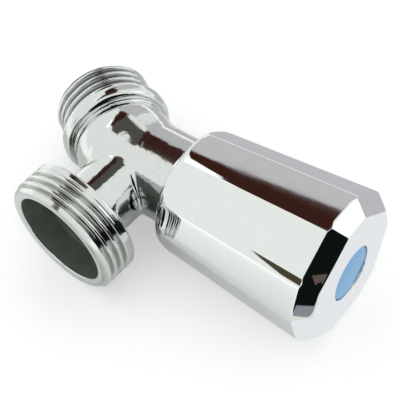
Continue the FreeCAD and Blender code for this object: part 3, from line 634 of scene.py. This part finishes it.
# %% [markdown]
# ## The knob
#
# The knob is moulded in plastic and chrome plated. It starts round at the back and flares, and ten
# flats, wide and narrow in turn, grow out of the round. Slanted facets lead from its widest place to
# the face. A Boolean would leave razor edges. Here the radius at each angle and height is a formula
# instead: the smallest of the round body and the flats, with a smooth minimum so narrow that it only
# rounds each edge the way a mould does. Columns of points follow the edges of the flats from row to
# row, so every edge runs along the mesh and the flats stay flat.

# %% Sizes of the knob
# Heights run along the neck's arm. At the back the flats' corners lie just outside the round body, so
# the flats start nearly at their full width.
PAIRS = 5
PAIR_TURN = 2 * math.pi / PAIRS
WIDE_AT = math.radians(30.5)
WIDE_RIM, WIDE_FACE = math.radians(40.0), math.radians(47.0)
BACK, BACK_R, BACK_CORNER_R, KNOB_MOUTH_R, MOUTH_RIM = 11.7, 13.2, 13.46, 9.9, 0.3
SHOULDER, SHOULDER_ROUND = 2.0, 2.0
RIM, RIM_R, ROUND_RIM_R, FACE, FACE_R, CROWN = 47.2, 16.3, 16.0, 50.3, 13.6, 0.3
EDGE_SOFT, RIM_SOFT, FACE_SOFT = 0.08, 0.22, 0.22
print("knob is", round(FACE - BACK, 1), "mm long and", 2 * RIM_R, "mm across its corners")


# %% How far the flats stand from the axis at a height
def stand_off(height):
    """Distances of the wide and of the narrow flats, on the side and on the slanted facets."""
    result = []
    for rim_half, face_half in ((WIDE_RIM / 2, WIDE_FACE / 2),
                                ((PAIR_TURN - WIDE_RIM) / 2, (PAIR_TURN - WIDE_FACE) / 2)):
        at_back = BACK_CORNER_R * math.cos(rim_half)
        at_rim = RIM_R * math.cos(rim_half)
        at_face = FACE_R * math.cos(face_half)
        side = at_back + (at_rim - at_back) * (height - BACK) / (RIM - BACK)
        slant = at_rim + (at_face - at_rim) * (height - RIM) / (FACE - RIM)
        result.append(float(blended(np.array(side), np.array(slant), RIM_SOFT)))
    return result


def corner_angle(wide_off, narrow_off):
    """Angle from the middle of a wide flat to where it meets the narrow one."""
    half_turn = PAIR_TURN / 2
    return math.atan2(narrow_off / wide_off - math.cos(half_turn), math.sin(half_turn))


# %% Angles of the columns in one row
# A flat's half has columns on the flat, five close together over its edge, and a few on the strip of
# round body that is left before the corner. Angles are in radians.
LEAST_FLAT, LEAST_STRIP = 0.02, 0.01
EDGE_SPAN, EDGE_CLEAR = math.radians(0.9), 1.6
FLAT_COLUMNS, EDGE_COLUMNS, STRIP_COLUMNS = 4, 5, 3


def half_flat(reach, corner):
    """Angles from a flat's middle to its corner, close together where the flat meets the round."""
    reach = min(max(reach, LEAST_FLAT), corner - LEAST_STRIP)
    span = min(EDGE_SPAN, reach / 3, (corner - reach) / 3)
    flat = np.linspace(0.0, reach - EDGE_CLEAR * span, FLAT_COLUMNS + 1)[1:]
    edge = reach + span * np.linspace(-1.0, 1.0, EDGE_COLUMNS)
    strip = np.linspace(reach + EDGE_CLEAR * span, corner, STRIP_COLUMNS + 1)[:-1]
    return np.concatenate([flat, edge, strip])


def row_columns(round_r, height):
    """For each column: its angle, its angle from the flat it lies on, and whether that is a wide one."""
    offs = stand_off(height)
    corner = corner_angle(*offs)
    angles, away, is_wide = [], [], []
    for pair in range(PAIRS):
        for middle, off, end, wide in ((0.0, offs[0], corner, True),
                                       (PAIR_TURN / 2, offs[1], PAIR_TURN / 2 - corner, False)):
            half = half_flat(math.acos(min(1.0, off / round_r)), end)
            across = np.concatenate([[-end], -half[::-1], [0.0], half])
            angles.append(WIDE_AT + pair * PAIR_TURN + middle + across)
            away.append(across)
            is_wide.append(np.full(len(across), wide))
    return np.concatenate(angles), np.concatenate(away), np.concatenate(is_wide)


# %% One turn of the outside
def outside_row(round_r, height):
    """The round body at this height, trimmed by the flats."""
    angles, away, is_wide = row_columns(round_r, height)
    wide_off, narrow_off = stand_off(height)
    own = np.where(is_wide, wide_off, narrow_off) / np.cos(away)
    other = np.where(is_wide, narrow_off, wide_off) / np.cos(PAIR_TURN / 2 - np.abs(away))
    flat = blended(own, other, EDGE_SOFT)
    return angles, blended(np.full_like(flat, round_r), flat, EDGE_SOFT), np.full_like(flat, height)


# %% Rows from the open end to the slanted facets
# The section of the back starts halfway round the mouth's edge, and its last two corners only say
# where the side leads. Over the rim the rows stand close together.
MOUTH_EDGE_ROUND, MOUTH_EDGE_LEAD, BACK_ARC = 0.12, 0.3, 9
SIDE_ROWS, SIDE_STOPS = 44, 0.55
RIM_ROWS, RIM_BAND = 13, 0.45
SLANT_ROWS, SLANT_STARTS = 6, 0.6
flare = (ROUND_RIM_R - BACK_R) / (RIM - BACK)
shoulder_r = BACK_R + flare * SHOULDER
back_section = rounded_section([(KNOB_MOUTH_R, BACK + MOUTH_EDGE_LEAD, SHARP),
                                (KNOB_MOUTH_R, BACK, MOUTH_EDGE_ROUND),
                                (KNOB_MOUTH_R + MOUTH_RIM, BACK, MOUTH_EDGE_ROUND),
                                (shoulder_r, BACK + SHOULDER, SHOULDER_ROUND),
                                (ROUND_RIM_R, RIM, SHARP), (0.0, RIM, SHARP)], arc_steps=BACK_ARC)
back_profile = back_section[1 + BACK_ARC // 2:-2]
side_start = back_profile[-1][1]
knob_rows = [outside_row(radius, height) for radius, height in back_profile]
for height in np.linspace(side_start, RIM - SIDE_STOPS, SIDE_ROWS)[1:]:
    knob_rows.append(outside_row(BACK_R + flare * (height - BACK), height))
for height in np.linspace(RIM - RIM_BAND, RIM + RIM_BAND, RIM_ROWS):
    knob_rows.append(outside_row(ROUND_RIM_R + flare * min(height - RIM, 0.0), height))
for height in np.linspace(RIM + SLANT_STARTS, FACE - SLANT_STARTS, SLANT_ROWS):
    knob_rows.append(outside_row(ROUND_RIM_R, height))
print("rows so far:", len(knob_rows), "of", len(knob_rows[0][0]), "columns")

# %% Heights over the face
CAP_HOLE_R, CAP_FOOT = 5.83, 49.15
face_angles, face_r, _ = outside_row(ROUND_RIM_R, FACE)
face_offs = stand_off(FACE)
rim_offs = [RIM_R * math.cos(WIDE_RIM / 2), RIM_R * math.cos((PAIR_TURN - WIDE_RIM) / 2)]


def face_row(radius):
    """Heights over the face: the lower of the slanted facets and the gently domed face."""
    heights = FACE + CROWN * (1 - radius / ROUND_RIM_R)
    for middle, rim_off, face_off in zip((0.0, PAIR_TURN / 2), rim_offs, face_offs):
        turn = (face_angles - WIDE_AT - middle + PAIR_TURN / 2) % PAIR_TURN - PAIR_TURN / 2
        fall = (rim_off - face_off) / (FACE - RIM)
        heights = blended(heights, RIM + (rim_off - radius * np.cos(turn)) / fall, FACE_SOFT)
    return face_angles, radius, heights


def round_row(radius, height):
    """A level row that is round all the way."""
    return face_angles, np.full_like(face_r, radius), np.full_like(face_r, height)


print("flats stand off the axis at the face by", np.round(face_offs, 2), "mm")

# %% Rows over the face and into the disc's recess
# The rows are shares of the face's own outline. They stand close together over its edge, and from
# there they turn from the many-sided outline to the round lip of the recess.
OVER_EDGE, OVER_FACE = np.linspace(1.03, 0.955, 14), np.linspace(0.94, 0.5, 12)
ROUND_AT, TURNING_SPAN, LIP_WIDTH = 0.5, 0.4, 0.3
LIP_ARC = ((0.12, 0.02), (0.03, 0.07), (0.0, 0.16))
for share in np.concatenate([OVER_EDGE, OVER_FACE]):
    many_sided = np.clip((share - ROUND_AT) / TURNING_SPAN, 0.0, 1.0)
    knob_rows.append(face_row(face_r * share * many_sided + (CAP_HOLE_R + LIP_WIDTH) * (1 - many_sided)))
lip_height = FACE + CROWN * (1 - CAP_HOLE_R / ROUND_RIM_R)
for out, down in LIP_ARC:
    knob_rows.append(round_row(CAP_HOLE_R + out, lip_height - down))
knob_rows.append(round_row(CAP_HOLE_R, CAP_FOOT))
print("rows with the face:", len(knob_rows))

# %% Rows through the hub and the hollow inside, back to the open end
HEAD_HOLE_R, HUB_FLOOR_TOP = 3.43, 45.8
SHANK_HOLE_R, SOCKET_TOP, SOCKET_R, HUB_FOOT, HUB_R = 2.3, 44.2, 4.0, 35.9, 5.8
INNER_END, INNER_FACE_R, INNER_RIM_R, INNER_BACK_R = 47.5, 10.57, 13.42, 11.3
KNOB_END_WALL, KNOB_LIP, KNOB_EDGE_ANGLE = 2.8, 1.9, 60.0
MOUTH_ARC = ((0.0, 0.15), (0.05, 0.04))
inside = [
    (HEAD_HOLE_R, CAP_FOOT), (HEAD_HOLE_R, HUB_FLOOR_TOP), (SHANK_HOLE_R, HUB_FLOOR_TOP),
    (SHANK_HOLE_R, SOCKET_TOP), (SOCKET_R, SOCKET_TOP), (SOCKET_R, HUB_FOOT), (HUB_R, HUB_FOOT),
    (HUB_R, INNER_END), (INNER_FACE_R, INNER_END), (INNER_RIM_R, RIM - KNOB_END_WALL),
    (INNER_BACK_R, BACK + SHOULDER + KNOB_LIP), (KNOB_MOUTH_R, BACK + KNOB_LIP),
]
inside += [(KNOB_MOUTH_R + out, BACK + up) for out, up in MOUTH_ARC]
knob_rows += [round_row(radius, height) for radius, height in inside]
knob_points = np.array([np.stack([r * np.cos(a), r * np.sin(a), h], axis=1) for a, r, h in knob_rows])
knob_mesh = finish_mesh(skin("knob", knob_points, True), neck_arm, smooth_angle=KNOB_EDGE_ANGLE)
knob_mesh.materials.append(knob_chrome)
knob = add_piece("faceted_knob", knob_mesh)
print("knob:", triangles(knob_mesh), "triangles")

# %% [markdown]
# ## The blue disc
#
# A small moulded disc in the middle of the face tells cold water by its colour. It sits a little
# below the face, with a rounded edge, so a thin shadow line runs round it.

# %% Index cap
# The top is gently domed. A ring under the disc plugs it into the hole of the knob's screw.
CAP_R, CAP_TOP, CAP_EDGE_DROP, CAP_EDGE_ROUND = 5.75, 50.35, 0.12, 0.25
PLUG_R, PLUG_BORE_R, PLUG_DEPTH, PLUG_ROUND = 3.4, 2.6, 0.5, 0.1
dome = [(0.0, 0.0), (2.5, 0.02), (4.6, 0.07)]
cap_section = [np.array([radius, CAP_TOP - drop]) for radius, drop in dome]
cap_section += rounded_section([(CAP_R, CAP_TOP - CAP_EDGE_DROP, CAP_EDGE_ROUND),
                                (CAP_R, CAP_FOOT, PLUG_ROUND),
                                (PLUG_R, CAP_FOOT, SHARP), (PLUG_R, CAP_FOOT - PLUG_DEPTH, PLUG_ROUND),
                                (PLUG_BORE_R, CAP_FOOT - PLUG_DEPTH, PLUG_ROUND),
                                (PLUG_BORE_R, CAP_FOOT, SHARP), (0.0, CAP_FOOT, SHARP)])
cap_mesh = finish_mesh(lathe("index_disc", cap_section, close_rows=False), neck_arm)
index_disc = add_piece("index_disc", cap_mesh)
print("disc:", triangles(cap_mesh), "triangles")

# %% [markdown]
# ## The plain finishes
#
# Moulded plastic has a smooth skin with a faint grain from the mould, a few tenths of a millimetre
# across. Rubber is dark and dull, pressed fibre is rough, and turned brass and plated steel have a
# soft shine. Apart from the disc, these pieces are seen only when the valve is taken apart, so one
# grain that varies colour, gloss and height serves them all, each with its own size and depth.

# %% Moulded, pressed and turned finishes
GLOSSIEST, DULLEST = 0.8, 1.25


def grained(name, colour, second, roughness, grain_mm, depth_mm, metallic=0.0):
    """A surface with a fine grain that varies its colour, its gloss and its height."""
    material, tree, shader = new_material(name)
    shader.inputs["Metallic"].default_value = metallic
    place = add_node(tree, "ShaderNodeTexCoord").outputs["Object"]
    grain = add_node(tree, "ShaderNodeTexNoise",
                     inputs={"Vector": place, "Scale": 1 / (grain_mm * MM), "Detail": 5.0})
    tint = add_node(tree, "ShaderNodeMix", {"data_type": "RGBA"},
                    {"A": linear(colour), "B": linear(second), "Factor": grain})
    gloss = add_node(tree, "ShaderNodeMapRange",
                     inputs={"Value": grain, "To Min": roughness * GLOSSIEST, "To Max": roughness * DULLEST})
    bump = add_node(tree, "ShaderNodeBump", inputs={"Height": grain, "Distance": depth_mm * MM})
    tree.links.new(tint.outputs["Result"], shader.inputs["Base Color"])
    tree.links.new(gloss.outputs["Result"], shader.inputs["Roughness"])
    tree.links.new(bump.outputs["Normal"], shader.inputs["Normal"])
    return material


finishes = {
    "raw_brass": grained("turned_brass", "#C9A45C", "#B08A45", 0.28, 0.35, 0.01, metallic=1.0),
    "black_rubber": grained("moulded_nitrile_rubber", "#1C1C1D", "#262627", 0.55, 0.5, 0.02),
    "fibre": grained("pressed_red_fibre", "#7E3B30", "#96503F", 0.8, 0.6, 0.04),
    "white_plastic": grained("moulded_acetal", "#ECEBE6", "#E2E1DA", 0.4, 0.5, 0.01),
    "spring_steel": grained("zinc_plated_steel", "#A9ABAD", "#96989A", 0.3, 0.4, 0.01, metallic=1.0),
    "blue_plastic": grained("moulded_blue_abs", "#5FA9DE", "#57A1D8", 0.22, 0.7, 0.006),
}
cap_mesh.materials.append(finishes["blue_plastic"])
print("finishes:", sorted(finishes))

# %% Dress the CAD nodes that stay
replaced = {"valve_body", "knob_shell", "index_cap"}
dressed_nodes = [subpart for subpart in frame["record"]["subparts"] if subpart["node"] not in replaced]
for subpart in dressed_nodes:
    node_mesh = frame["nodes"][subpart["node"]].data
    node_mesh.materials.clear()
    node_mesh.materials.append(finishes[subpart["material_slot"]])
print("CAD nodes with a finish:", len(dressed_nodes))

# %% [markdown]
# ## Ride and replace
#
# Each new piece rides on the body it moves with, and the CAD node it stands for is hidden.

# %% Tie the pieces to the frame
for piece in (cast_body, inlet_end, outlet_end):
    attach(piece, "body")
    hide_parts("valve_body")
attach(knob, "knob")
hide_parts("knob_shell")
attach(index_disc, "knob")
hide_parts("index_cap")
print("pieces that stand for CAD nodes:", sorted(replaced))

# %% [markdown]
# ## Table, surround and cards
#
# The valve lies on a white table, on the knob's rim, the outlet's rim and the collar. Chrome has hardly
# any colour of its own: it shows the room. Chrome is photographed with cards round it, so the same is
# done here. The room is white, and a few dark and grey cards stand where the picture's dark facets
# look. The cards are seen by reflections alone.

# %% Table
# The lowest places of the three round forms give the table its lean. It lies a little below them,
# because the corners of the knob reach past its round rim.
TABLE_SIZE, TABLE_DROP = 1.6, 0.4


def low_point(origin, axis, along, radius):
    return np.asarray(origin) + np.asarray(axis) * along - np.array([0, 0, radius])


touches = [low_point(crossing, neck_axis, RIM, ROUND_RIM_R),
           low_point(crossing, outlet_axis, OUTLET_END - LEAD_IN, OUTLET_R),
           low_point(np.zeros(3), inlet_axis, -COLLAR_LENGTH / 2, COLLAR_R)]
table_up = np.cross(touches[1] - touches[0], touches[2] - touches[0])
table_up /= np.linalg.norm(table_up) * np.sign(table_up[2])
table_base = touches[0] - table_up * TABLE_DROP
table_mesh = bpy.data.meshes.new("table")
table_grid = bmesh.new()
aim = Vector(table_up).to_track_quat("Z", "Y").to_matrix().to_4x4()
bmesh.ops.create_grid(table_grid, x_segments=1, y_segments=1, size=TABLE_SIZE,
                      matrix=Matrix.Translation(Vector(table_base * MM)) @ aim)
table_grid.to_mesh(table_mesh)
table_grid.free()
table = add_piece("table", table_mesh)
print("table leans", round(math.degrees(math.acos(table_up[2])), 1), "degrees")

# %% White paper on the table
# Paper is matt and nearly white. A little glow is added for the camera and for reflections, so that
# the open table reads as plain white, in the chrome too. In reflections the glow fades out close to
# the valve, because there the paper lies in the valve's own soft shadow.
PAPER_ROUGHNESS = 0.9
PAPER_GLOW, GLOW_STARTS, GLOW_FULL = 0.30, 70.0, 130.0
table_paint, table_tree, table_shader = new_material("white_table_paper")
table_shader.inputs["Base Color"].default_value = linear("#F2F2F2")
table_shader.inputs["Roughness"].default_value = PAPER_ROUGHNESS
table_shader.inputs["Specular IOR Level"].default_value = 0.0
table_shader.inputs["Emission Color"].default_value = (1.0, 1.0, 1.0, 1.0)
seen = add_node(table_tree, "ShaderNodeLightPath").outputs
spot = add_node(table_tree, "ShaderNodeTexCoord").outputs["Object"]
away = add_node(table_tree, "ShaderNodeVectorMath", {"operation": "DISTANCE"},
                {0: spot, 1: touches[0] * MM}).outputs["Value"]
opened = add_node(table_tree, "ShaderNodeMapRange", {"interpolation_type": "SMOOTHSTEP"},
                  {"Value": away, "From Min": GLOW_STARTS * MM, "From Max": GLOW_FULL * MM})
reflected = add_node(table_tree, "ShaderNodeMath", {"operation": "MULTIPLY"},
                     {0: seen["Is Glossy Ray"], 1: opened})
in_sight = add_node(table_tree, "ShaderNodeMath", {"operation": "MAXIMUM"},
                    {0: seen["Is Camera Ray"], 1: reflected})
glow = add_node(table_tree, "ShaderNodeMath", {"operation": "MULTIPLY"}, {0: in_sight, 1: PAPER_GLOW})
table_tree.links.new(glow.outputs[0], table_shader.inputs["Emission Strength"])
table_mesh.materials.append(table_paint)
print("reflections see the paper's full glow from", GLOW_FULL, "mm away")

# %% White surround
# The room is evenly lit and faintly green, as the picture's white facets are.
world = bpy.data.worlds.new("white_studio")
bpy.context.scene.world = world
world.use_nodes = True
sky = world.node_tree
sky.nodes.clear()
white = add_node(sky, "ShaderNodeBackground", inputs={"Color": linear("#F1F4F1"), "Strength": 1.0})
add_node(sky, "ShaderNodeOutputWorld", inputs={"Surface": white})
bpy.context.scene.view_settings.view_transform = "Standard"
print("surround:", world.name)


# %% Cards for the reflections
cards = []


def add_card(name, colour, place, corners, strength=1.0):
    """A flat card. Place turns each corner to millimetres, and only reflections see the card."""
    card_mesh = bpy.data.meshes.new(name)
    points = [tuple(place(*corner) * MM) for corner in corners]
    card_mesh.from_pydata(points, [], [range(len(points))])
    card = add_piece(name, card_mesh)
    paint, tree, shader = new_material(name)
    tree.nodes.remove(shader)
    glow = add_node(tree, "ShaderNodeEmission", inputs={"Color": linear(colour), "Strength": strength})
    tree.links.new(glow.outputs[0], tree.nodes["Material Output"].inputs["Surface"])
    card_mesh.materials.append(paint)
    card.visible_camera = False
    card.visible_diffuse = False
    card.visible_shadow = False
    cards.append(name)


# %% Places for the cards
# Most cards are given by the direction in which a facet looks, and sheets by their place on the table.
KNOB_MIDDLE, FAR, NEAR, SHEET_LIFT = 32.0, 3000.0, 300.0, 0.4
BOARD_Y, TAN_Y = -100, -99.5
knob_middle = crossing + neck_axis * KNOB_MIDDLE


def seen_at(azimuth, elevation, distance=FAR):
    """A place seen from the knob in a direction given in degrees."""
    turn, rise = math.radians(azimuth), math.radians(elevation)
    level = math.cos(rise)
    direction = np.array([math.cos(turn) * level, math.sin(turn) * level, math.sin(rise)])
    return knob_middle + distance * direction


def on_table(x, y):
    """A place just above the table, in millimetres."""
    fall = table_up[0] * (x - table_base[0]) + table_up[1] * (y - table_base[1])
    return np.array([x, y, table_base[2] - fall / table_up[2] + SHEET_LIFT])


def in_front(x, z, y=BOARD_Y):
    """A place on an upright board in front of the valve, in millimetres."""
    return np.array([x, y, z])


print("directions are taken from", knob_middle.round(1))

# %% The dark side of the room
# The dark facets look at a dark wall in front, at a board overhead and at a shelf to the left.
add_card("brown_ceiling_board", "#3A201A", seen_at, [
    (57, 41.2), (74, 35), (97, 52), (104, 56.3), (113, 57.3), (121, 58.8), (119, 62.5), (92, 63),
    (74, 57), (58, 50)])
add_card("dark_ceiling", "#504F4B", seen_at, [
    (58, 50), (74, 57), (92, 63), (119, 62.5), (140, 66), (160, 73), (110, 80), (20, 79), (24, 62)])
add_card("dark_front_wall", "#171B1A", seen_at, [
    (-122, 2, NEAR), (-50, 2, NEAR), (-52, 40, NEAR), (-70, 66, NEAR), (-112, 68, NEAR),
    (-126, 40, NEAR)])
add_card("black_front_board", "#0E1413", in_front, [(-40, -10.9), (70, -10.9), (70, 60), (-40, 60)])
add_card("tan_card", "#5F534D", in_front, [
    (28.6, 21.6, TAN_Y), (31.8, 20.8, TAN_Y), (32.2, 22.9, TAN_Y), (29.0, 23.9, TAN_Y)])
add_card("slate_sheet", "#8A9096", on_table, [
    (-18, -127), (16, -127), (16, -118), (-2, -115.5), (-18, -118)])
add_card("olive_shelf", "#4A4436", seen_at, [
    (179.3, 20.5), (179.6, 18), (181, 14.5), (183.5, 9.5), (190, 9), (190, 26), (183, 24)])
print("dark cards:", cards)

# %% The light side of the room
# Sheets on the table turn the facets beneath from white to grey; the large grey one is painted
# shadow of the valve. Two glowing cards, which are no lamps, give the white streaks as painted highlights.
# This sheet is painted shadow: the valve's soft shadow on the paper, as the chrome sees it.
add_card("grey_sheet", "#C1C0C5", on_table, [
    (24, 24), (50, -22), (78, -46), (170, -70), (230, 30), (70, 110)])
add_card("grey_back_wall", "#C4C3C5", seen_at, [
    (42.7, -8), (80, -8), (75.5, 34.5), (57, 41.2), (42.7, 46)])
add_card("white_sheet", "#EEF0F4", on_table, [
    (8, -72), (10, -60), (24, -52), (60, -44), (72, -60), (42, -78)])
add_card("left_sheet", "#CDCDC8", on_table, [
    (-18, -3), (-18, 16), (-36, 24), (-62, 10), (-40, -3)])
# These two cards glow brighter than white and light nothing: they are painted highlights, the white streaks.
add_card("right_window", "#FFFFFF", seen_at, [(-30, 12), (-4, 12), (-4, 38), (-30, 38)], strength=1.3)
add_card("back_window", "#FFFFFF", seen_at, [
    (98, 51.4), (100, 49), (126, 49), (126, 58.6), (113, 56.9), (104, 55.8)], strength=1.5)
print("cards in all:", len(cards))
